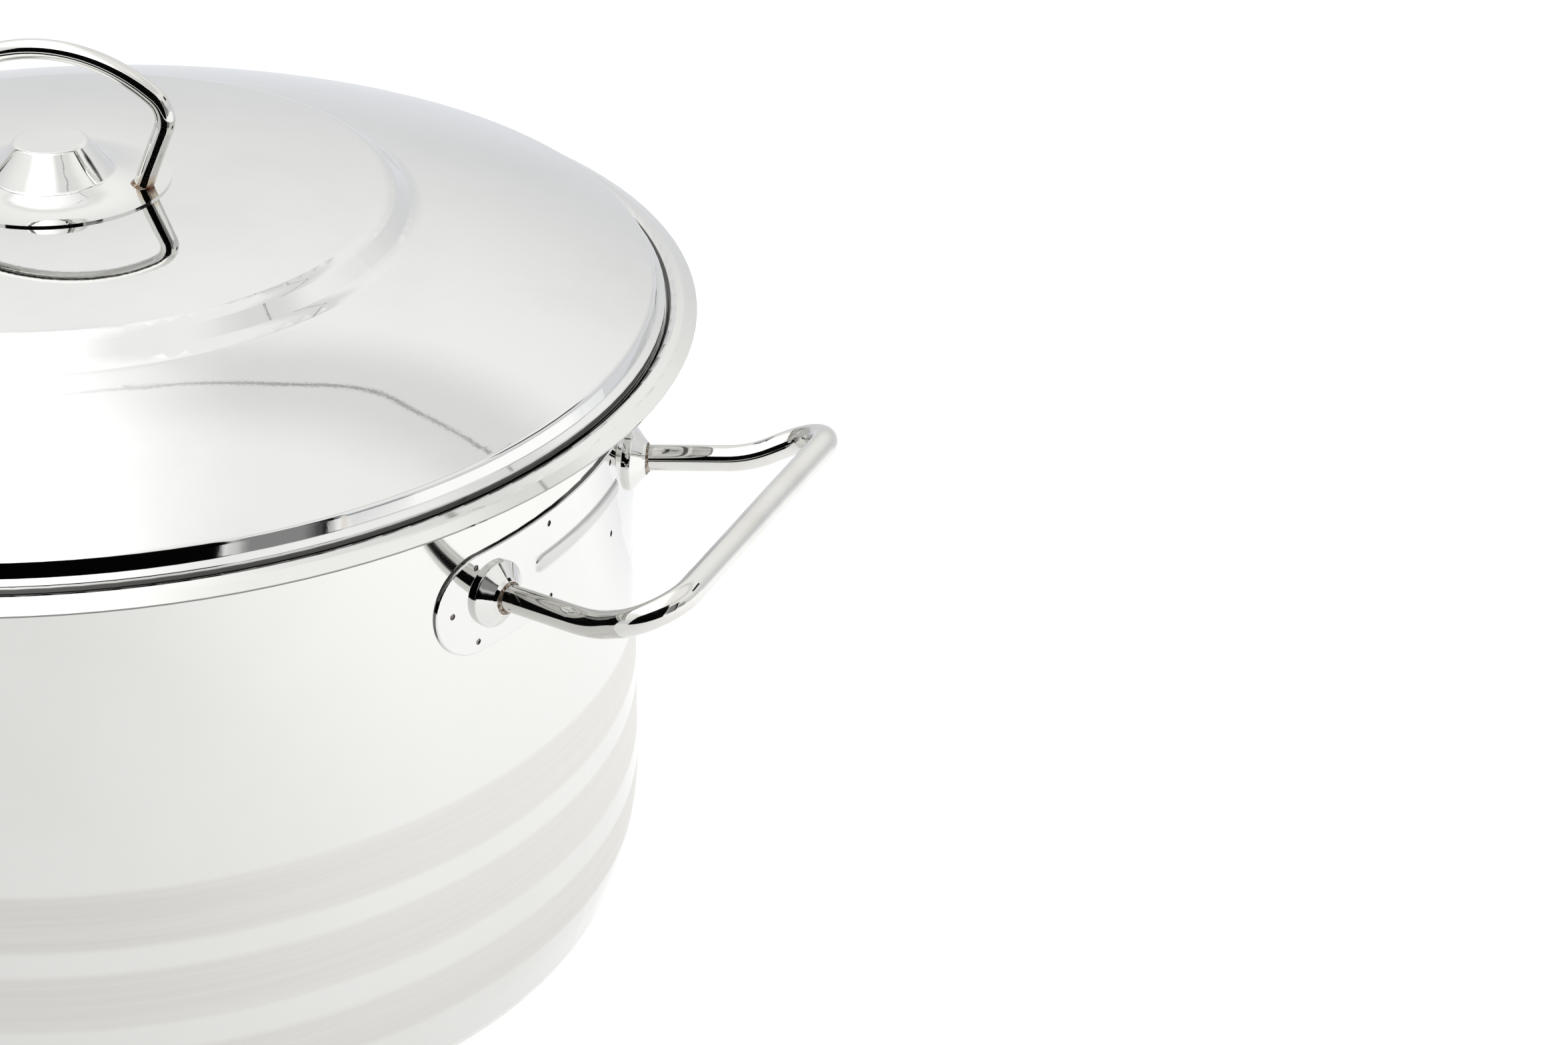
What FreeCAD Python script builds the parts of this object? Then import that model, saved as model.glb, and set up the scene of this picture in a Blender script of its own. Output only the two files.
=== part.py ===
# Lidded stainless steel stockpot with two welded side handles and a lift-off lid.
# Units are millimetres. The origin is the middle of the underside, +Z points up,
# and the two side handles lie along +X (right) and -X (left).
import FreeCAD
import Part
import math
import os

V = FreeCAD.Vector

# ---- pot shell: one drawn sheet, open at the top, with a flared rim
SHEET = 0.8              # thickness of the drawn steel sheet
WALL_R = 170.8           # outer radius of the straight wall, 340 mm bore inside it
KNEE_H = 28.0            # height where the wall starts to turn in
KNEE_R = 68.0            # slow outer turn from the wall towards the base
HEEL_R = 162.8           # outer radius where the wall meets the flat bottom
HEEL_ROUND = 7.0
BOTTOM_H = 3.0           # underside of the pot shell, above the heat spreader
RIM_R = 190.5            # outermost radius of the rim
RIM_H = 195.0            # height of the rim's outer edge
SEAT_H = 196.2           # top of the ledge the lid sits on
SEAT_R = 181.8           # radius where the ledge steps up to the rim band
BAND_H = 197.7           # top of the rim band next to the step
BAND_IN = 1.8            # the step reaches the band's inner edge this far out from the ledge
BAND_OUT = 4.8           # and the band's outer edge this far out, from where the flare falls
BAND_FALL = 0.8          # the band's outer edge lies this much lower than its inner edge
LIP_IN = 0.45            # the underside of the flare ends this far inside the rim's edge
LIP_DROP = 0.7           # and this far below it

# ---- base: aluminium heat spreader inside a pressed steel cap, under the pot's flat bottom
CORE_R = 150.0
CAP_SHEET = 0.8
CAP_R = 151.6            # radius of the cap's flat underside before its rounding
CAP_LIP_R = 153.6        # radius of the cap where it meets the pot's bottom
CAP_ROUND = 1.2

# ---- lid: one pressed sheet with a raised centre, a domed outer zone and a short skirt
LID_TOP_H = 237.3        # height of the flat centre
LID_FLAT_R = 68.0        # where the centre starts to fall away
LID_FLAT_ROUND = 400.0
LID_STEP_R = 99.5        # edge of the raised centre
LID_STEP_H = 232.8
LID_STEP_ROUND = 6.8
LID_FOOT_R = 106.5       # bottom of the step round the raised centre
LID_FOOT_H = 226.0
LID_FOOT_ROUND = 7.5
LID_DOME_R = 143.3       # where the tangents at both ends of the outer dome meet
LID_DOME_H = 219.2
LID_DOME_ROUND = 300.0
LID_SHOULDER_R = 177.9   # edge where the dome turns down into the skirt
LID_SHOULDER_H = 204.3
LID_SHOULDER_ROUND = 2.4
LID_SKIRT_R = 178.9      # foot of the skirt, where the narrow flange starts
LID_SKIRT_H = 199.9
LID_SKIRT_ROUND = 0.6
LID_EDGE_R = 180.9       # outer edge of the lid
LID_EDGE_TOP = 198.7
LID_EDGE_ROUND = 0.4
LID_EDGE_BOTTOM = 196.5  # clears the pot's ledge by 0.3 mm
LID_TURN = 13.0          # the lid's handle stands at this angle to the side handles

# ---- knob plate on the lid: pressed disc with a hollow blunt cone
PLATE_R = 34.8
PLATE_T = 0.6
PLATE_BEND_R = 28.0      # the disc rises in a slow curve from here to the cone's foot
PLATE_BEND_ROUND = 45.0
CONE_FOOT_R = 18.3
CONE_FOOT_RISE = 2.6
CONE_FOOT_ROUND = 1.5
CONE_TOP_R = 10.8
CONE_TOP_RISE = 12.6
CONE_TOP_ROUND = 1.5

# ---- lid bow: bent round rod welded to the knob plate
BOW_ROD_D = 6.0
BOW_ROOT_BELOW = 4.0     # the legs run on this far below the plate before they are trimmed
BOW_WELD_WIDTH = 0.6
BOW_WELD_RISE = 1.0
BOW_FOOT_X = 27.6        # half distance between the two feet
BOW_KNEE_X = 37.6        # half distance between the two knees
BOW_KNEE_H = 24.6        # knee height above the plate
BOW_PEAK_H = 55.1        # height above the plate where the two upper legs would meet
BOW_KNEE_ROUND = 9.0
BOW_ARCH_ROUND = 49.0

# ---- side handles: plate on the wall, two bosses and a bent round rod
PAD_T = 1.0
PAD_HALF_LENGTH = 67.8
PAD_HALF_HEIGHT = 15.5
PAD_H = 156.2            # height of the plate's middle
PAD_EDGE_ROUND = 0.6
RIB_HALF_LENGTH = 29.0
RIB_HALF_HEIGHT = 4.2
RIB_H = 157.2            # height of the rib's middle
RIB_RISE = 0.8
RIB_ROUND = 3.4          # larger than the rise, so the rib swells gently out of the plate
BOSS_ANGLE = 15.6        # each boss stands this far to either side of the middle
BOSS_BASE_R = 10.0
BOSS_TOP_R = 5.6
BOSS_BASE_T = 1.2
BOSS_H = 5.2
ROD_D = 8.0
ROD_H = 157.0            # height of the rod where it leaves the boss
ROD_KINK_R = 208.0       # distance from the pot's axis to the kink in each leg
ROD_KINK_H = 159.0
GRIP_X = 226.4           # distance from the pot's axis to the grip
GRIP_HALF_LENGTH = 66.6
GRIP_H = 171.5
KINK_ROUND = 36.0
CORNER_ROUND = 13.0
ROOT_WELD_R = 5.0
ROOT_WELD_T = 0.9

# ---- spot welds that hold the handle plate on the wall
SPOT_R = 0.95
SPOT_SINK = 0.3
SPOT_REACH = 1.5         # the nuggets are cut out of pins that start this far inside the wall
SPOT_OUTER_ANGLE = 18.1
SPOT_END_ANGLE = 21.3
SPOT_INNER_ANGLE = 7.0
SPOT_RISE = 11.8


def rounded_path(points, radii):
    """Straight runs through the points, with a tangent arc of the given radius at
    each inner point; radii has one entry per inner point, 0 keeps it sharp."""
    edges = []
    here = points[0]
    for i, radius in enumerate(radii):
        corner = points[i + 1]
        back = (points[i] - corner).normalize()
        ahead = (points[i + 2] - corner).normalize()
        half = back.getAngle(ahead) / 2
        if radius > 0:
            reach = radius / math.tan(half)
            start = corner + back * reach
            end = corner + ahead * reach
            middle_way = (back + ahead).normalize()
            centre = corner + middle_way * (radius / math.sin(half))
            edges.append(Part.makeLine(here, start))
            edges.append(Part.Arc(start, centre - middle_way * radius, end).toShape())
            here = end
        else:
            edges.append(Part.makeLine(here, corner))
            here = corner
    edges.append(Part.makeLine(here, points[-1]))
    return edges


def side_points(points, thickness):
    """The path moved sideways by the sheet thickness, measured square to each run.
    A positive thickness moves it to the left of the direction of travel."""
    normals = []
    for a, b in zip(points, points[1:]):
        run = (b - a).normalize()
        normals.append(V(-run.z, 0, run.x))
    moved = [points[0] + normals[0] * thickness]
    for i in range(1, len(points) - 1):
        mid = normals[i - 1] + normals[i]
        mid.normalize()
        moved.append(points[i] + mid * (thickness / mid.dot(normals[i])))
    moved.append(points[-1] + normals[-1] * thickness)
    return moved


def turn_of(a, b, c):
    """+1 when the path turns left at b, -1 when it turns right."""
    first = b - a
    second = c - b
    return 1 if first.x * second.z - first.z * second.x > 0 else -1


def spun(edges):
    """Solid of revolution about the vertical axis from a closed outline."""
    face = Part.Face(Part.Wire(Part.__sortEdges__(edges)))
    return face.revolve(V(0, 0, 0), V(0, 0, 1), 360)


def spun_sheet(outline, radii, thickness):
    """Pressed sheet of even thickness: outline is one side of it as (r, z) pairs."""
    near = [V(r, 0, z) for r, z in outline]
    far = side_points(near, thickness)
    far_radii = []
    for i, radius in enumerate(radii):
        turn = turn_of(near[i], near[i + 1], near[i + 2])
        far_radii.append(radius - turn * thickness)
    edges = rounded_path(near, radii) + rounded_path(far, far_radii)
    edges.append(Part.makeLine(near[0], far[0]))
    edges.append(Part.makeLine(near[-1], far[-1]))
    return spun(edges)


def spun_blank(outline, radii):
    """Solid turned body: outline runs from the axis at the bottom to the axis at the top."""
    points = [V(r, 0, z) for r, z in outline]
    edges = rounded_path(points, radii)
    edges.append(Part.makeLine(points[-1], points[0]))
    return spun(edges)


def rod_along(points, radii, diameter):
    """Round rod bent along a path with tangent bends."""
    path = Part.Wire(rounded_path(points, radii))
    start = points[0]
    heading = points[1] - points[0]
    ring = Part.Wire(Part.makeCircle(diameter / 2, start, heading))
    return Part.Solid(path.makePipeShell([ring], True, False))


def stadium_prism(half_length, half_height, height, depth):
    """Bar with a rounded-end outline seen along X, reaching from the axis to depth."""
    flat = half_length - half_height
    low_right = V(0, flat, height - half_height)
    high_right = V(0, flat, height + half_height)
    low_left = V(0, -flat, height - half_height)
    high_left = V(0, -flat, height + half_height)
    edges = [
        Part.makeLine(low_left, low_right),
        Part.Arc(low_right, V(0, half_length, height), high_right).toShape(),
        Part.makeLine(high_right, high_left),
        Part.Arc(high_left, V(0, -half_length, height), low_left).toShape(),
    ]
    return Part.Face(Part.Wire(edges)).extrude(V(depth, 0, 0))


def turned(shape, degrees):
    """Copy of the shape turned about the pot's axis."""
    copy = shape.copy()
    copy.rotate(V(0, 0, 0), V(0, 0, 1), degrees)
    return copy


def upright(radius, low, high):
    """Plain cylinder about the pot's axis."""
    return Part.makeCylinder(radius, high - low, V(0, 0, low), V(0, 0, 1))


def write(name, shape):
    shape.exportStep("parts/" + name + ".step")


# ---- pot ------------------------------------------------------------------

SHELL_OUTLINE = [
    (0, BOTTOM_H),
    (HEEL_R, BOTTOM_H),
    (WALL_R, KNEE_H),
    (WALL_R, SEAT_H - SHEET),
    (SEAT_R, SEAT_H - SHEET),
    (SEAT_R + BAND_IN, BAND_H - SHEET),
    (SEAT_R + BAND_OUT, BAND_H - SHEET - BAND_FALL),
    (RIM_R - LIP_IN, RIM_H - LIP_DROP),
]
SHELL_ROUNDS = [HEEL_ROUND, KNEE_R, 4.0, 1.2, 1.2, 4.0]


def make_pot_shell():
    return spun_sheet(SHELL_OUTLINE, SHELL_ROUNDS, SHEET)


def make_base_core():
    return upright(CORE_R, CAP_SHEET, BOTTOM_H)


def make_base_cap(core):
    blank = spun_blank(
        [(0, 0), (CAP_R, 0), (CAP_LIP_R, BOTTOM_H), (0, BOTTOM_H)],
        [CAP_ROUND, 0],
    )
    return blank.cut(core)


# ---- side handles, built for the right side ----------------------------------

def spot_places():
    """Angle and height of each spot weld, even about the plate's middle."""
    places = []
    for side in (-1, 1):
        places.append((side * SPOT_END_ANGLE, PAD_H))
        for rise in (-SPOT_RISE, SPOT_RISE):
            places.append((side * SPOT_OUTER_ANGLE, PAD_H + rise))
            places.append((side * SPOT_INNER_ANGLE, PAD_H + rise))
    return places


def spot_pins(reach):
    """Short radial pins at every spot weld, from the wall out to the given radius."""
    pins = []
    length = 2 * SPOT_REACH + PAD_T
    for angle, height in spot_places():
        pin = Part.makeCylinder(SPOT_R, length, V(WALL_R - SPOT_REACH, 0, height), V(1, 0, 0))
        pins.append(turned(pin, angle))
    gap = upright(reach, 0, RIM_H).cut(upright(WALL_R, -1, RIM_H + 1))
    return [pin.common(gap) for pin in pins]


def make_handle_plate():
    outer = WALL_R + PAD_T
    band = upright(outer, 0, RIM_H).cut(upright(WALL_R, -1, RIM_H + 1))
    plate = band.common(stadium_prism(PAD_HALF_LENGTH, PAD_HALF_HEIGHT, PAD_H, 2 * WALL_R))
    plate = softened(plate, outer, PAD_EDGE_ROUND)
    crest = outer + RIB_RISE
    ridge = upright(crest, 0, RIM_H).cut(upright(crest - RIB_HALF_HEIGHT, -1, RIM_H + 1))
    rib = ridge.common(stadium_prism(RIB_HALF_LENGTH, RIB_HALF_HEIGHT, RIB_H, 2 * WALL_R))
    rib = softened(rib, crest, RIB_ROUND)
    plate = plate.fuse(rib.cut(upright(outer - PAD_T / 2, -1, RIM_H + 1)))
    for pin in spot_pins(outer + 1):
        plate = plate.cut(pin)
    return plate.removeSplitter()


def softened(shape, radius, rounding):
    """Rounds the edges that lie on the cylinder of the given radius."""
    return shape.makeFillet(rounding, [edge for edge in shape.Edges if on_crest(edge, radius)])


def on_crest(edge, radius):
    """True for an edge that lies wholly on the cylinder of the given radius."""
    for at in (0.1, 0.5, 0.9):
        spot = edge.valueAt(edge.FirstParameter + at * (edge.LastParameter - edge.FirstParameter))
        if abs(math.hypot(spot.x, spot.y) - radius) > 0.01:
            return False
    return True


def make_spot_welds():
    return Part.makeCompound(spot_pins(WALL_R + PAD_T - SPOT_SINK))


def boss_blank():
    """Blunt cone about the X axis, pierced for the rod."""
    foot = WALL_R + PAD_T - 1
    shoulder = WALL_R + PAD_T + BOSS_BASE_T
    tip = WALL_R + PAD_T + BOSS_H
    points = [
        V(foot, 0, ROD_D / 2),
        V(foot, 0, BOSS_BASE_R),
        V(shoulder, 0, BOSS_BASE_R),
        V(tip - 0.8, 0, BOSS_TOP_R + 0.4),
        V(tip, 0, BOSS_TOP_R - 0.4),
        V(tip, 0, ROD_D / 2),
    ]
    edges = rounded_path(points, [0, 0.6, 0.8, 0])
    edges.append(Part.makeLine(points[-1], points[0]))
    return Part.Face(Part.Wire(edges)).revolve(V(0, 0, 0), V(1, 0, 0), 360)


def make_boss(side):
    boss = boss_blank()
    boss.translate(V(0, 0, ROD_H))
    boss = turned(boss, side * BOSS_ANGLE)
    return boss.cut(upright(WALL_R + PAD_T, 0, RIM_H))


def out_at(radius, angle, height):
    """Point at a distance from the pot's axis, at an angle and a height."""
    along = math.radians(angle)
    return V(radius * math.cos(along), radius * math.sin(along), height)


def make_handle_rod():
    root = WALL_R + PAD_T + 0.2
    points = [
        out_at(root, -BOSS_ANGLE, ROD_H),
        out_at(ROD_KINK_R, -BOSS_ANGLE, ROD_KINK_H),
        V(GRIP_X, -GRIP_HALF_LENGTH, GRIP_H),
        V(GRIP_X, GRIP_HALF_LENGTH, GRIP_H),
        out_at(ROD_KINK_R, BOSS_ANGLE, ROD_KINK_H),
        out_at(root, BOSS_ANGLE, ROD_H),
    ]
    return rod_along(points, [KINK_ROUND, CORNER_ROUND, CORNER_ROUND, KINK_ROUND], ROD_D)


def make_root_welds(rod):
    rings = []
    for side in (-1, 1):
        tip = WALL_R + PAD_T + BOSS_H
        ring = Part.makeCone(ROOT_WELD_R, ROD_D / 2, ROOT_WELD_T, V(tip, 0, ROD_H), V(1, 0, 0))
        rings.append(turned(ring, side * BOSS_ANGLE).cut(rod))
    return Part.makeCompound(rings)


def write_handle(side_name, degrees):
    rod = make_handle_rod()
    pieces = {
        "handle_plate": make_handle_plate(),
        "spot_welds": make_spot_welds(),
        "front_boss": make_boss(-1).cut(rod),
        "rear_boss": make_boss(1).cut(rod),
        "handle_rod": rod,
        "root_welds": make_root_welds(rod),
    }
    if degrees:
        pieces["front_boss"], pieces["rear_boss"] = pieces["rear_boss"], pieces["front_boss"]
    for piece, shape in pieces.items():
        write(side_name + "_" + piece, turned(shape, degrees))


# ---- lid --------------------------------------------------------------------

LID_OUTLINE = [
    (0, LID_TOP_H),
    (LID_FLAT_R, LID_TOP_H),
    (LID_STEP_R, LID_STEP_H),
    (LID_FOOT_R, LID_FOOT_H),
    (LID_DOME_R, LID_DOME_H),
    (LID_SHOULDER_R, LID_SHOULDER_H),
    (LID_SKIRT_R, LID_SKIRT_H),
    (LID_EDGE_R, LID_EDGE_TOP),
    (LID_EDGE_R, LID_EDGE_BOTTOM),
]
LID_ROUNDS = [
    LID_FLAT_ROUND,
    LID_STEP_ROUND,
    LID_FOOT_ROUND,
    LID_DOME_ROUND,
    LID_SHOULDER_ROUND,
    LID_SKIRT_ROUND,
    LID_EDGE_ROUND,
]
PLATE_TOP = LID_TOP_H + PLATE_T
PLATE_OUTLINE = [
    (0, PLATE_TOP + CONE_TOP_RISE),
    (CONE_TOP_R, PLATE_TOP + CONE_TOP_RISE),
    (CONE_FOOT_R, PLATE_TOP + CONE_FOOT_RISE),
    (PLATE_BEND_R, PLATE_TOP),
    (PLATE_R, PLATE_TOP),
]
PLATE_ROUNDS = [CONE_TOP_ROUND, CONE_FOOT_ROUND, PLATE_BEND_ROUND]


def make_lid_shell():
    return spun_sheet(LID_OUTLINE, LID_ROUNDS, -SHEET)


def make_knob_plate():
    return spun_sheet(PLATE_OUTLINE, PLATE_ROUNDS, -PLATE_T)


def below_plate():
    """Everything under the knob plate's upper face, for trimming what stands on it."""
    low = PLATE_TOP - 2 * BOW_ROOT_BELOW
    outline = [(0, low), (PLATE_R, low)] + PLATE_OUTLINE[::-1]
    return spun_blank(outline, [0, 0] + PLATE_ROUNDS[::-1])


def bow_lean():
    """How far a leg of the bow moves outward for each millimetre it rises."""
    return (BOW_KNEE_X - BOW_FOOT_X) / BOW_KNEE_H


def make_lid_bow():
    root_x = BOW_FOOT_X - bow_lean() * BOW_ROOT_BELOW
    points = [
        V(root_x, 0, PLATE_TOP - BOW_ROOT_BELOW),
        V(BOW_KNEE_X, 0, PLATE_TOP + BOW_KNEE_H),
        V(0, 0, PLATE_TOP + BOW_PEAK_H),
        V(-BOW_KNEE_X, 0, PLATE_TOP + BOW_KNEE_H),
        V(-root_x, 0, PLATE_TOP - BOW_ROOT_BELOW),
    ]
    rod = rod_along(points, [BOW_KNEE_ROUND, BOW_ARCH_ROUND, BOW_KNEE_ROUND], BOW_ROD_D)
    return rod.cut(below_plate())


def make_lid_bow_welds(bow):
    beads = []
    low = BOW_ROD_D / 2 + 2 * BOW_WELD_WIDTH
    for side in (-1, 1):
        start = V(side * (BOW_FOOT_X - bow_lean() * BOW_WELD_RISE), 0, PLATE_TOP - BOW_WELD_RISE)
        along = V(side * bow_lean(), 0, 1)
        bead = Part.makeCone(low, BOW_ROD_D / 2, 2 * BOW_WELD_RISE, start, along)
        beads.append(bead.cut(bow).cut(below_plate()))
    return Part.makeCompound(beads)


os.makedirs("parts", exist_ok=True)

write("pot_shell", make_pot_shell())
base_core = make_base_core()
write("base_core", base_core)
write("base_cap", make_base_cap(base_core))

write_handle("right", 0)
write_handle("left", 180)

lid_bow = make_lid_bow()
write("lid_shell", make_lid_shell())
write("knob_plate", make_knob_plate())
write("lid_bow", turned(lid_bow, LID_TURN))
write("lid_bow_welds", turned(make_lid_bow_welds(lid_bow), LID_TURN))
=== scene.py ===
import math

import bpy
from mathutils import Euler, Matrix, Vector


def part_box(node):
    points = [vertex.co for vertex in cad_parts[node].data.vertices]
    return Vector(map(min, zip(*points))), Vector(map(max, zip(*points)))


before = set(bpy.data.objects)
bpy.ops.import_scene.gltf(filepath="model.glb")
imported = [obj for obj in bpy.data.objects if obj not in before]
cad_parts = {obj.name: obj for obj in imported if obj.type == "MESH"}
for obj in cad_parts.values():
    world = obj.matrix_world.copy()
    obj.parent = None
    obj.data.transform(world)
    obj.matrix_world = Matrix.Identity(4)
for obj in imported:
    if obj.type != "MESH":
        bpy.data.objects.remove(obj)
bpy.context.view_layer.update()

# ---- proportions, in metres -----------------------------------------------------

pot_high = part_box("pot_shell")[1]
lid_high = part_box("lid_shell")[1]
RIM_OUT = pot_high[0]                # radius of the rim's outer edge
RIM_TOP = pot_high[2]                # height of the rim band's inner edge
RIM_PLANE = 0.195                    # height of the rim's outer edge
RIM_START = (RIM_TOP - 0.0075, RIM_TOP - 0.0055)     # the polish of the rim sets in here
INSIDE_END = (RIM_TOP - 0.008, RIM_TOP - 0.004)      # and the brushed inside ends here
# lower side of the rim's cut edge, where a painted shadow darkens the wall
CUT_EDGE_REACH = (RIM_OUT - 0.0006, RIM_OUT - 0.0004)
CUT_EDGE_LEVEL = (RIM_PLANE - 0.0001, RIM_PLANE + 0.0001)
GROOVE_IN = lid_high[0] + 0.0003     # the groove beside the lid, darkened with painted shade, from the lid's edge
GROOVE_OUT = RIM_OUT - 0.0081        # to the step of the rim band
GROOVE_FADE = 0.0003
# the lid's hem, darkened with painted shade in the gap beside the rim
HEM_REACH = (lid_high[0] - 0.0006, lid_high[0] - 0.0002)
HEM_LEVEL = (RIM_TOP - 0.0004, RIM_TOP + 0.0006)
PLATE_FACE = lid_high[2] + 0.0006    # top of the knob plate
STRAW_LEVEL = (PLATE_FACE + 0.0012, PLATE_FACE + 0.0042)
BURNT_LEVEL = (PLATE_FACE - 0.0010, PLATE_FACE + 0.0014)
FOOT_OUTSIDE = (0.0259, 0.0281)      # outer side of the lid handle's feet, along x
HEAT_WANDER = 0.0022                 # how unevenly the heat colours end
RIB_LEVEL = (0.1560, 0.1594)         # heights of the handle plates' ribs
RIB_LEVEL_FADE = 0.0014
RIB_REACH = 0.0270                   # their half length
RIB_REACH_FADE = 0.002

# ---- camera: seen from the front right and from above -----------------------------

CAMERA_TURN = 33.15          # degrees from straight in front towards the right handle
CAMERA_RISE = 24.4           # degrees above the rim's plane
CAMERA_REACH = 1.2624        # metres from the middle of the rim
LOOK_TURN = 10.88            # degrees the view turns right of the pot's axis
LOOK_FALL = 27.66            # degrees the view looks down
LOOK_ROLL = 0.39             # degrees the camera is tipped about its own axis
LENS = 94.8                  # millimetres, on a sensor this wide
SENSOR = 36.0

# ---- studio -----------------------------------------------------------------------

FLOOR_SIZE = 14.0
FLOOR_PAINT = (0.22, 0.22, 0.22)
FLOOR_LEFT = 0.76            # glow of the table to the viewer's left
FLOOR_RIGHT = 1.12           # and to the right
FLOOR_FAR = 0.72             # glow of the table well behind the pot
FLOOR_SIDES = (-0.15, 0.55)  # where the glow changes from left to right
FLOOR_BACK = (0.8, 1.4)      # how far behind the pot it falls
FLOOR_CLOUD = 0.985          # its faintest clouds
TENT_LOW = 0.85              # the tent's brightness at the horizon
TENT_HIGH = 1.16             # and overhead
SEAM_UP = 0.75               # sine of the seam's height above the horizon
SEAM_WIDTH = 0.002
SEAM_FADE = 0.0025
SEAM_SAG = 0.06              # how far the seam wanders up and down
SEAM_DEPTH = 0.5             # how much darker the seam's line is
SEAM_SHADE = 0.22            # the tent is this much darker on both sides of the seam
ROOM_BLACK = 0.001           # brightness of the unlit room
OBJECT_BLACK = 0.004         # of unlit things in it
SOFT_BOX_LEVEL = 2.0         # of the long lamp overhead

WHITE = (1.0, 1.0, 1.0)
CREAM = (1.0, 0.95, 0.88)
BLUISH = (0.965, 0.985, 1.02)
TABLE_WHITE = (1.0, 1.0, 0.995)
TENT_WALL = (0.975, 0.99, 1.02)
TENT_ROOF = (1.0, 1.0, 0.985)

# ---- matt bands on the wall, heights in metres ------------------------------------

BANDS = ((0.0268, 0.0403), (0.0520, 0.0678), (0.0783, 0.0944))
BAND_FADE = 0.0026
BAND_WOBBLE = 0.0004         # how far their edges wander

# ---- colours of the metals --------------------------------------------------------

POLISHED_WALL = (0.730, 0.730, 0.715)
WIPED_WALL = (0.712, 0.710, 0.696)
BAND_DARK = (0.655, 0.642, 0.618)
BAND_LIGHT = (0.705, 0.693, 0.668)
INSIDE_DARK = (0.60, 0.60, 0.59)
INSIDE_LIGHT = (0.72, 0.72, 0.71)
PLATE_TONE = (0.735, 0.735, 0.725)
BOSS_TONE = (0.73, 0.728, 0.715)
LID_TONE = (0.725, 0.727, 0.72)
KNOB_TONE = (0.74, 0.74, 0.73)
ROD_BRIGHT = (0.69, 0.685, 0.665)
ROD_WIPED = (0.645, 0.635, 0.61)
CAP_DARK = (0.56, 0.56, 0.55)
CAP_LIGHT = (0.72, 0.72, 0.70)
ALUMINIUM = (0.77, 0.78, 0.79)
ALUMINIUM_OXIDE = (0.66, 0.67, 0.68)
DULLING = 0.965                                          # wiped sheet beside bright sheet
# dark colour painted into the steel as shade in gaps, in the groove and along edges
PAINTED_SHADE = (0.035, 0.032, 0.03)
PAINTED_SHADE_DEPTH = 0.9                                         # how much the painted shade covers
CUT_EDGE_SHADOW = 0.7                                      # strength of the painted shadow on the rim's cut edge
HEM_SHADE = 0.2                                           # share of the painted shade on the lid's hem
RIB_SHADE = 0.26                                          # share of the painted shade on the handle plates' ribs
STRAW = (0.52, 0.36, 0.18)
STRAW_DEPTH = 0.5
BURNT = (0.10, 0.035, 0.015)
ROOT_WELD = ((0.10, 0.07, 0.05), (0.38, 0.33, 0.28))     # hot and cool patches
SPOT_WELD = ((0.11, 0.09, 0.08), (0.50, 0.48, 0.46))
BOW_WELD = ((0.13, 0.06, 0.03), (0.45, 0.40, 0.34))


# ---- small helpers for node trees -------------------------------------------------

class Tree:
    """Thin wrapper that adds nodes, sets constants and links sockets."""

    def __init__(self, tree):
        self.tree = tree
        tree.nodes.clear()

    def add(self, kind, **settings):
        node = self.tree.nodes.new(kind)
        for name, value in settings.items():
            setattr(node, name, value)
        return node

    def put(self, socket, value):
        if isinstance(value, bpy.types.NodeSocket):
            self.tree.links.new(value, socket)
        else:
            socket.default_value = value

    def math(self, operation, a, b=0.0, c=0.0, clamp=False):
        node = self.add("ShaderNodeMath", operation=operation, use_clamp=clamp)
        for socket, value in zip(node.inputs, (a, b, c)):
            self.put(socket, value)
        return node.outputs[0]

    def times(self, a, b):
        return self.math("MULTIPLY", a, b)

    def plus(self, a, b):
        return self.math("ADD", a, b)

    def between(self, value, low, high, soft):
        """1 between low and high, falling to 0 over the distance soft outside them."""
        rise = self.ramp(value, low - soft, low)
        fall = self.ramp(value, high, high + soft)
        return self.math("SUBTRACT", rise, fall, clamp=True)

    def ramp(self, value, low, high, out_low=0.0, out_high=1.0):
        """Smooth step from out_low to out_high as the value goes from low to high."""
        node = self.add("ShaderNodeMapRange", interpolation_type="SMOOTHSTEP", clamp=True)
        for socket, setting in zip(node.inputs, (value, low, high, out_low, out_high)):
            self.put(socket, setting)
        return node.outputs[0]

    def mix(self, factor, a, b):
        """Colour a where the factor is 0, colour b where it is 1."""
        node = self.add("ShaderNodeMix", data_type="RGBA")
        self.put(node.inputs["Factor"], factor)
        for socket, value in ((node.inputs[6], a), (node.inputs[7], b)):
            if not isinstance(value, bpy.types.NodeSocket):
                value = (*value, 1.0)
            self.put(socket, value)
        return node.outputs[2]

    def blend(self, factor, a, b):
        """Number a where the factor is 0, number b where it is 1."""
        node = self.add("ShaderNodeMix", data_type="FLOAT")
        self.put(node.inputs[0], factor)
        self.put(node.inputs[2], a)
        self.put(node.inputs[3], b)
        return node.outputs[0]

    def noise(self, vector, scale, detail=3.0, roughness=0.5):
        node = self.add("ShaderNodeTexNoise")
        self.put(node.inputs["Vector"], vector)
        self.put(node.inputs["Scale"], scale)
        self.put(node.inputs["Detail"], detail)
        self.put(node.inputs["Roughness"], roughness)
        return node.outputs[0]

    def stretch(self, vector, x, y, z):
        node = self.add("ShaderNodeVectorMath", operation="MULTIPLY")
        self.put(node.inputs[0], vector)
        node.inputs[1].default_value = (x, y, z)
        return node.outputs[0]

    def parts(self, vector):
        node = self.add("ShaderNodeSeparateXYZ")
        self.put(node.inputs[0], vector)
        return node.outputs

    def bump(self, height, strength, distance, normal=None):
        node = self.add("ShaderNodeBump")
        self.put(node.inputs["Height"], height)
        self.put(node.inputs["Strength"], strength)
        self.put(node.inputs["Distance"], distance)
        if normal is not None:
            self.put(node.inputs["Normal"], normal)
        return node.outputs[0]


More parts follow.
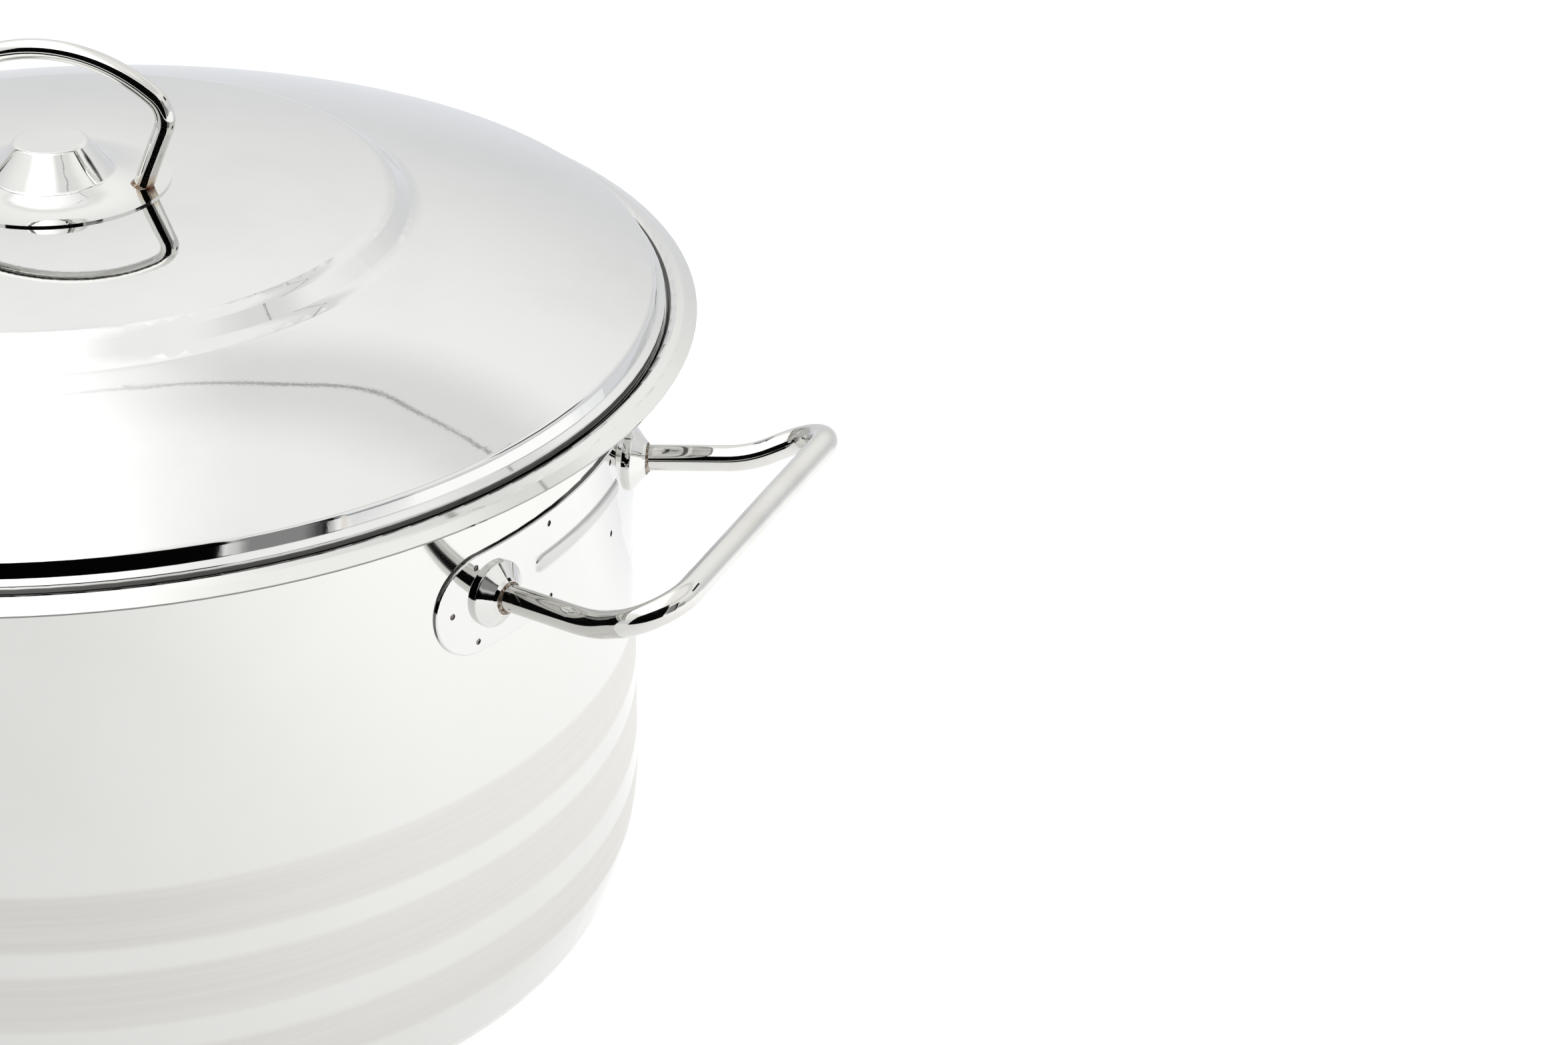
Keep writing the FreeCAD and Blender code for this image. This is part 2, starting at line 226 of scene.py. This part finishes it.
def new_material(name):
    """Metal with its tree, its place on the object in metres, and its shader."""
    material = bpy.data.materials.new(name)
    material.use_nodes = True
    tree = Tree(material.node_tree)
    place = tree.add("ShaderNodeTexCoord").outputs["Object"]
    shader = tree.add("ShaderNodeBsdfPrincipled")
    out = tree.add("ShaderNodeOutputMaterial")
    tree.put(out.inputs["Surface"], shader.outputs[0])
    shader.inputs["Metallic"].default_value = 1.0
    shader.inputs["IOR"].default_value = 1.45
    shader.inputs["Specular IOR Level"].default_value = 0.5
    shader.inputs["Anisotropic"].default_value = 0.0
    shader.inputs["Coat Roughness"].default_value = 0.03
    return material, tree, place, shader


def finish_steel(tree, shader, colour, roughness, normal):
    tree.put(shader.inputs["Base Color"], colour)
    tree.put(shader.inputs["Roughness"], roughness)
    tree.put(shader.inputs["Normal"], normal)


# ---- materials ----------------------------------------------------------------------

def hairlines(tree, place, along, across):
    """Fine lines that run round the pot: slow along the sheet, quick up and down."""
    coarse = tree.noise(tree.stretch(place, along, along, across), 1.0, 2.0, 0.6)
    fine = tree.noise(tree.stretch(place, along * 3, along * 3, across * 3.1), 1.0, 3.0, 0.7)
    return tree.plus(tree.times(coarse, 0.6), tree.times(fine, 0.4))


def smudges(tree, place, scale):
    """Soft uneven patches left by wiping."""
    cloud = tree.noise(place, scale, 5.0, 0.62)
    return tree.ramp(cloud, 0.42, 0.72)


def paint_shade(tree, colour, where, depth=PAINTED_SHADE_DEPTH):
    """The colour darkened with painted shade where the mask is 1."""
    return tree.mix(tree.times(where, depth), colour, PAINTED_SHADE)


def from_axis(tree, x, y):
    """Distance from the pot's axis."""
    return tree.math("SQRT", tree.plus(tree.times(x, x), tree.times(y, y)))


def outward(tree, x, y):
    """How far the surface's normal points away from the pot's axis, times the distance
    from it; and the normal's upward part."""
    nx, ny, nz = tree.parts(tree.add("ShaderNodeNewGeometry").outputs["Normal"])
    return tree.plus(tree.times(nx, x), tree.times(ny, y)), nz


def wall_steel():
    """Polished drawn sheet with three matt brushed bands outside and a brushed inside,
    and painted shade in the groove beside the lid and on the rim's cut edge."""
    material, tree, place, shader = new_material("wall_steel")
    x, y, z = tree.parts(place)
    grain = hairlines(tree, place, 9.0, 1500.0)
    streak = tree.noise(tree.stretch(place, 5.0, 5.0, 480.0), 1.0, 3.0, 0.7)
    wobble = tree.times(tree.noise(place, 60.0, 3.0), BAND_WOBBLE)
    height = tree.plus(z, tree.math("SUBTRACT", wobble, BAND_WOBBLE / 2))
    facing, _ = outward(tree, x, y)
    outside = tree.math("GREATER_THAN", facing, 0.0)
    bands = 0.0
    for low, high in BANDS:
        band = tree.between(height, low, high, BAND_FADE)
        bands = tree.math("ADD", bands, band, clamp=True)
    bands = tree.times(bands, outside)
    below_rim = tree.ramp(z, *INSIDE_END, 1.0, 0.0)
    inside = tree.times(tree.math("SUBTRACT", 1.0, outside), below_rim)
    rim = tree.ramp(z, *RIM_START)
    reach = from_axis(tree, x, y)
    groove = tree.times(rim, tree.between(reach, GROOVE_IN, GROOVE_OUT, GROOVE_FADE))
    near_edge = tree.ramp(reach, *CUT_EDGE_REACH)
    under_edge = tree.ramp(z, *CUT_EDGE_LEVEL, 1.0, 0.0)
    cut_edge = tree.times(near_edge, under_edge)
    wiped = smudges(tree, place, 14.0)

    polished = tree.mix(wiped, POLISHED_WALL, WIPED_WALL)
    lines = tree.plus(tree.times(grain, 0.5), tree.times(streak, 0.5))
    streaked = tree.mix(tree.ramp(lines, 0.30, 0.70), BAND_DARK, BAND_LIGHT)
    brushed = tree.mix(grain, INSIDE_DARK, INSIDE_LIGHT)
    colour = tree.mix(bands, tree.mix(inside, polished, brushed), streaked)
    # painted shade in the groove beside the lid
    colour = paint_shade(tree, colour, groove)
    # painted shadow on the lower side of the rim's cut edge
    colour = paint_shade(tree, colour, cut_edge, CUT_EDGE_SHADOW)

    smooth = tree.plus(tree.times(wiped, 0.03), tree.blend(rim, 0.075, 0.03))
    matt = tree.ramp(grain, 0.3, 0.7, 0.30, 0.39)
    rough = tree.blend(bands, tree.blend(inside, smooth, 0.24), matt)
    depth = tree.blend(bands, tree.blend(inside, 0.010, 0.10), 0.22)
    depth = tree.blend(rim, depth, 0.002)
    ripple = tree.bump(tree.noise(place, 7.0, 1.0), tree.blend(rim, 0.05, 0.01), 0.004)
    finish_steel(tree, shader, colour, rough, tree.bump(grain, depth, 0.00025, ripple))
    return material


def hem_shade(tree, place):
    """Mask of painted shade on the lid's hem, where it sits in the gap beside the rim."""
    x, y, z = tree.parts(place)
    low = tree.ramp(z, *HEM_LEVEL, 1.0, 0.0)
    edge = tree.ramp(from_axis(tree, x, y), *HEM_REACH)
    return tree.times(tree.times(low, HEM_SHADE), edge)


def pad_edge_shade(tree, place):
    """Mask of painted shade along the upper and end edges of a handle plate, and faintly on its
    pressed rib.
    """
    x, y, z = tree.parts(place)
    facing, up = outward(tree, x, y)
    square = tree.math("DIVIDE", facing, from_axis(tree, x, y))
    # painted shade along the plate's edges, kept off its lower edge
    edge = tree.ramp(tree.math("ABSOLUTE", square), 0.35, 0.60, 1.0, 0.0)
    edge = tree.times(edge, tree.ramp(up, -0.5, -0.2))
    # faint painted shade over the pressed rib
    rib = tree.between(tree.math("ABSOLUTE", y), -RIB_REACH, RIB_REACH, RIB_REACH_FADE)
    rib = tree.times(rib, tree.between(z, *RIB_LEVEL, RIB_LEVEL_FADE))
    return tree.math("MAXIMUM", edge, tree.times(rib, RIB_SHADE))


def mirror_steel(name, tone, wave_scale, wave_depth, shade_mask=None):
    """Mirror-polished sheet: slow waves from pressing, faint smears and hair scratches."""
    material, tree, place, shader = new_material(name)
    wiped = smudges(tree, place, 22.0)
    scratch = tree.noise(tree.stretch(place, 40.0, 900.0, 300.0), 1.0, 2.0, 0.7)
    scratched = tree.ramp(scratch, 0.66, 0.74)
    dull = tuple(value * DULLING for value in tone)
    colour = tree.mix(wiped, tone, dull)
    # an optional mask of painted shade, darkened with the shade colour
    if shade_mask:
        colour = paint_shade(tree, colour, shade_mask(tree, place))
    rough = tree.plus(tree.times(wiped, 0.018), 0.028)
    rough = tree.plus(rough, tree.times(scratched, 0.03))
    wave = tree.bump(tree.noise(place, wave_scale, 1.5, 0.4), wave_depth, 0.004)
    peel = tree.bump(tree.noise(place, 900.0, 2.0), 0.012, 0.0002, wave)
    finish_steel(tree, shader, colour, rough, peel)
    return material


def rod_steel(name, tinted):
    """Polished round rod with drawing lines. A tinted one shows straw and brown heat colour
    on the outer side of its feet."""
    material, tree, place, shader = new_material(name)
    along, _, z = tree.parts(place)
    wiped = smudges(tree, place, 55.0)
    line = tree.noise(tree.stretch(place, 500.0, 60.0, 500.0), 1.0, 3.0, 0.6)
    colour = tree.mix(wiped, ROD_BRIGHT, ROD_WIPED)
    if tinted:
        uneven = tree.times(tree.noise(place, 700.0, 3.0), HEAT_WANDER)
        height = tree.math("SUBTRACT", z, uneven)
        outer = tree.ramp(tree.math("ABSOLUTE", along), *FOOT_OUTSIDE)
        straw = tree.ramp(height, *STRAW_LEVEL, 1.0, 0.0)
        brown = tree.ramp(height, *BURNT_LEVEL, 1.0, 0.0)
        colour = tree.mix(tree.times(straw, tree.times(outer, STRAW_DEPTH)), colour, STRAW)
        colour = tree.mix(tree.times(brown, outer), colour, BURNT)
    rough = tree.plus(tree.times(wiped, 0.035), 0.045)
    skin = tree.bump(line, 0.02, 0.0002, tree.bump(tree.noise(place, 60.0, 2.0), 0.05, 0.0006))
    finish_steel(tree, shader, colour, rough, skin)
    return material


def weld_steel(name, hot, cool):
    """Weld metal: rippled, oxidised in hot and cool patches."""
    material, tree, place, shader = new_material(name)
    patch = tree.noise(place, 900.0, 4.0, 0.65)
    colour = tree.mix(tree.ramp(patch, 0.4, 0.62), hot, cool)
    rough = tree.ramp(patch, 0.35, 0.65, 0.42, 0.20)
    finish_steel(tree, shader, colour, rough, tree.bump(patch, 0.5, 0.0003))
    return material


def cap_steel():
    """Pressed base cap: turned rings underneath, brushed round its side."""
    material, tree, place, shader = new_material("cap_steel")
    x, y, _ = tree.parts(place)
    rings = tree.add("ShaderNodeTexNoise", noise_dimensions="1D")
    tree.put(rings.inputs["W"], tree.times(from_axis(tree, x, y), 1400.0))
    rings.inputs["Scale"].default_value = 1.0
    rings.inputs["Detail"].default_value = 4.0
    lines = hairlines(tree, place, 12.0, 1500.0)
    grain = tree.plus(tree.times(rings.outputs[0], 0.5), tree.times(lines, 0.5))
    colour = tree.mix(grain, CAP_DARK, CAP_LIGHT)
    wiped = smudges(tree, place, 16.0)
    rough = tree.plus(tree.ramp(grain, 0.3, 0.7, 0.24, 0.33), tree.times(wiped, 0.06))
    finish_steel(tree, shader, colour, rough, tree.bump(grain, 0.15, 0.00025))
    return material


def core_aluminium():
    """Rolled aluminium blank: straight mill lines and a dull oxide skin."""
    material, tree, place, shader = new_material("core_aluminium")
    mill = tree.noise(tree.stretch(place, 25.0, 1300.0, 25.0), 1.0, 3.0, 0.6)
    oxide = smudges(tree, place, 30.0)
    colour = tree.mix(oxide, ALUMINIUM, ALUMINIUM_OXIDE)
    rough = tree.plus(tree.ramp(mill, 0.3, 0.7, 0.34, 0.46), tree.times(oxide, 0.08))
    finish_steel(tree, shader, colour, rough, tree.bump(mill, 0.2, 0.0003))
    return material


# ---- dressing the frame's nodes -----------------------------------------------------

def dress(node, material):
    """Give a node of the frame its one material."""
    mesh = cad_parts[node].data
    mesh.materials.clear()
    mesh.materials.append(material)


def dress_pot():
    dress("pot_shell", wall_steel())
    dress("base_cap", cap_steel())
    dress("base_core", core_aluminium())


def dress_handles():
    plate = mirror_steel("handle_plate_steel", PLATE_TONE, 45.0, 0.10, pad_edge_shade)
    boss = mirror_steel("boss_steel", BOSS_TONE, 90.0, 0.08)
    rod = rod_steel("handle_rod_steel", False)
    bead = weld_steel("root_weld_steel", *ROOT_WELD)
    nugget = weld_steel("spot_weld_steel", *SPOT_WELD)
    for side in ("right", "left"):
        dress(side + "_handle_plate", plate)
        dress(side + "_front_boss", boss)
        dress(side + "_rear_boss", boss)
        dress(side + "_handle_rod", rod)
        dress(side + "_root_welds", bead)
        dress(side + "_spot_welds", nugget)


def dress_lid():
    dress("lid_shell", mirror_steel("lid_steel", LID_TONE, 9.0, 0.06, hem_shade))
    dress("knob_plate", mirror_steel("knob_plate_steel", KNOB_TONE, 60.0, 0.06))
    dress("lid_bow", rod_steel("lid_bow_steel", True))
    dress("lid_bow_welds", weld_steel("bow_weld_steel", *BOW_WELD))


# ---- building the studio ------------------------------------------------------------
# Places in the studio are given as the viewer sees them, in metres from the pot's foot:
# side is to the viewer's right, away is behind the pot, up is overhead.

def seen(side, away, up):
    """Point in the scene for a place given as (side, away, up)."""
    return Matrix.Rotation(math.radians(CAMERA_TURN), 3, "Z") @ Vector((side, away, up))


def viewer_parts(tree, vector):
    """Side, away and up parts of a vector of the scene."""
    turn = tree.add("ShaderNodeVectorRotate", rotation_type="Z_AXIS")
    tree.put(turn.inputs["Vector"], vector)
    turn.inputs["Angle"].default_value = math.radians(-CAMERA_TURN)
    return tree.parts(turn.outputs[0])


def studio_floor():
    """Pale glowing table the pot stands on, so the pot throws hardly any shadow."""
    bpy.ops.mesh.primitive_plane_add(size=FLOOR_SIZE, location=(0, 0, 0))
    floor = bpy.context.object
    floor.name = "studio_floor"
    material = bpy.data.materials.new("studio_floor_white")
    material.use_nodes = True
    tree = Tree(material.node_tree)
    place = tree.add("ShaderNodeTexCoord").outputs["Object"]
    shader = tree.add("ShaderNodeBsdfPrincipled")
    out = tree.add("ShaderNodeOutputMaterial")
    tree.put(out.inputs["Surface"], shader.outputs[0])
    shader.inputs["Base Color"].default_value = (*FLOOR_PAINT, 1.0)
    shader.inputs["Roughness"].default_value = 0.9
    shader.inputs["Specular IOR Level"].default_value = 0.0
    side, away, _ = viewer_parts(tree, place)
    near = tree.ramp(side, *FLOOR_SIDES, FLOOR_LEFT, FLOOR_RIGHT)
    far = tree.ramp(away, *FLOOR_BACK)
    cloud = tree.ramp(tree.noise(place, 1.2, 2.0), 0.3, 0.7, FLOOR_CLOUD, 1.0)
    level = tree.times(tree.blend(far, near, FLOOR_FAR), cloud)
    tree.put(shader.inputs["Emission Color"], tree.mix(far, TABLE_WHITE, BLUISH))
    tree.put(shader.inputs["Emission Strength"], level)
    floor.data.materials.append(material)


def studio_world():
    """White tent round the pot, a little brighter towards its roof, with one stitched seam."""
    world = bpy.data.worlds.new("studio")
    bpy.context.scene.world = world
    world.use_nodes = True
    tree = Tree(world.node_tree)
    ray = tree.add("ShaderNodeTexCoord").outputs["Generated"]
    _, _, up = viewer_parts(tree, ray)
    colour = tree.mix(tree.ramp(up, -0.1, 0.45), TENT_WALL, TENT_ROOF)
    level = tree.ramp(up, 0.08, 0.68, TENT_LOW, TENT_HIGH)
    shade = tree.between(up, SEAM_UP - 0.02, SEAM_UP + 0.02, 0.10)
    level = tree.math("SUBTRACT", level, tree.times(shade, SEAM_SHADE))
    sag = tree.times(tree.noise(ray, 4.0, 1.0), SEAM_SAG)
    height = tree.plus(up, tree.math("SUBTRACT", sag, SEAM_SAG / 2))
    seam = tree.between(height, SEAM_UP, SEAM_UP + SEAM_WIDTH, SEAM_FADE)
    level = tree.times(level, tree.math("SUBTRACT", 1.0, tree.times(seam, SEAM_DEPTH)))
    background = tree.add("ShaderNodeBackground")
    out = tree.add("ShaderNodeOutputWorld")
    tree.put(background.inputs["Color"], colour)
    tree.put(background.inputs["Strength"], level)
    tree.put(out.inputs["Surface"], background.outputs[0])


def card(name, centre, facing, size, level, soft, ragged=0.0, slant=0.0, colour=WHITE):
    """Flat soft-edged card that only polished surfaces see, turned to look at facing.
    size is its width and height in metres, soft the share of each that fades at an edge,
    ragged how far its sides wander, as a share of the width. A positive slant leans the
    upper end of a standing card to the viewer's right."""
    spot = seen(*centre)
    look = (seen(*facing) - spot).normalized()
    across = seen(1.0, 0.0, 0.0)
    across = (across - look * across.dot(look)).normalized()
    frame_of_card = Matrix((across, look.cross(across), look)).transposed()
    bpy.ops.mesh.primitive_grid_add(x_subdivisions=4, y_subdivisions=4, size=1.0, location=spot)
    sheet = bpy.context.object
    sheet.name = name
    sheet.scale = (*size, 1.0)
    sheet.rotation_euler = frame_of_card.to_euler()
    material = bpy.data.materials.new(name)
    material.use_nodes = True
    tree = Tree(material.node_tree)
    place = tree.add("ShaderNodeTexCoord").outputs["Object"]
    x, y, _ = tree.parts(place)
    swirl = tree.math("SUBTRACT", tree.noise(tree.stretch(place, 9.0, 2.5, 1.0), 1.0, 2.0), 0.5)
    x = tree.plus(x, tree.times(swirl, ragged))
    x = tree.plus(x, tree.times(y, slant))
    soft_x, soft_y = soft
    wide = tree.between(x, soft_x - 0.5, 0.5 - soft_x, soft_x)
    high = tree.between(y, soft_y - 0.5, 0.5 - soft_y, soft_y)
    glow = tree.add("ShaderNodeEmission")
    glow.inputs["Color"].default_value = (*colour, 1.0)
    glow.inputs["Strength"].default_value = level
    clear = tree.add("ShaderNodeBsdfTransparent")
    both = tree.add("ShaderNodeMixShader")
    tree.put(both.inputs[0], tree.times(wide, high))
    tree.put(both.inputs[1], clear.outputs[0])
    tree.put(both.inputs[2], glow.outputs[0])
    out = tree.add("ShaderNodeOutputMaterial")
    tree.put(out.inputs["Surface"], both.outputs[0])
    sheet.data.materials.append(material)
    sheet.visible_camera = False
    sheet.visible_diffuse = False
    sheet.visible_shadow = False


def above(place):
    """Point straight above a low place, for a card that looks up."""
    return (place[0], place[1], 1.0)


def below(place):
    """Point straight below a place, for a card that looks down."""
    return (place[0], place[1], 0.0)


def studio_cards():
    """What the polished steel mirrors: the dark room on the viewer's side with things that
    stand beside it, the far end of the table and the long soft box overhead."""
    over_lid = (0.0, 0.0, 0.30)
    room = (-0.335, -0.85, 0.465)
    across_room = (-0.335, 0.0, 0.465)
    far_table = (0.30, 3.65, 0.004)
    side_table = (0.72, 0.55, 0.004)
    soft_box = (-0.657, -0.28, 1.70)
    card("dark_room", room, across_room, size=(1.43, 1.03), level=ROOM_BLACK,
         soft=(0.02, 0.02), ragged=0.05, slant=0.06)
    card("lamp_stand", (0.64, -0.83, 0.38), over_lid, size=(0.24, 0.66), level=OBJECT_BLACK,
         soft=(0.28, 0.08), ragged=0.5, slant=0.25)
    card("doorway", (0.50, -0.84, 0.36), over_lid, size=(0.34, 0.66), level=0.30,
         soft=(0.3, 0.1), ragged=0.2)
    card("lamp_rod", (0.74, -0.80, 0.30), over_lid, size=(0.025, 0.50), level=1.0,
         soft=(0.2, 0.2), ragged=0.5, colour=CREAM)
    card("curtain", (0.98, -0.84, 0.30), over_lid, size=(0.45, 0.50), level=0.42,
         soft=(0.3, 0.3), ragged=0.3, colour=BLUISH)
    card("side_opening", (1.20, 0.08, 0.80), over_lid, size=(0.26, 0.62), level=0.02,
         soft=(0.2, 0.15), ragged=0.3, colour=CREAM)
    card("far_table", far_table, above(far_table), size=(8.0, 7.0), level=0.86,
         soft=(0.06, 0.06), colour=BLUISH)
    card("side_table", side_table, above(side_table), size=(1.08, 1.0), level=0.88,
         soft=(0.08, 0.2), colour=BLUISH)
    card("soft_box", soft_box, below(soft_box), size=(2.087, 3.6), level=SOFT_BOX_LEVEL,
         soft=(0.36, 0.09))


def camera():
    """Long lens, placed and turned as the camera values above say."""
    turn = math.radians(CAMERA_TURN)
    rise = math.radians(CAMERA_RISE)
    flat = CAMERA_REACH * math.cos(rise)
    spot = Vector((flat * math.sin(turn), -flat * math.cos(turn),
                   RIM_PLANE + CAMERA_REACH * math.sin(rise)))
    heading = turn - math.radians(LOOK_TURN)
    aim = Euler((math.radians(90 - LOOK_FALL), 0, heading), "XYZ").to_matrix()
    aim = aim @ Matrix.Rotation(math.radians(LOOK_ROLL), 3, "Z")
    data = bpy.data.cameras.new("main_camera")
    data.lens = LENS
    data.sensor_width = SENSOR
    data.clip_start = 0.05
    data.clip_end = 50.0
    holder = bpy.data.objects.new("main_camera", data)
    holder.matrix_world = Matrix.Translation(spot) @ aim.to_4x4()
    bpy.context.scene.collection.objects.link(holder)
    bpy.context.scene.camera = holder


def tone():
    """Plain view transform, so that the levels above are what is seen."""
    view = bpy.context.scene.view_settings
    view.view_transform = "Standard"
    view.look = "None"
    view.exposure = 0.0
    view.gamma = 1.0


dress_pot()
dress_handles()
dress_lid()
studio_floor()
studio_world()
studio_cards()
camera()
tone()
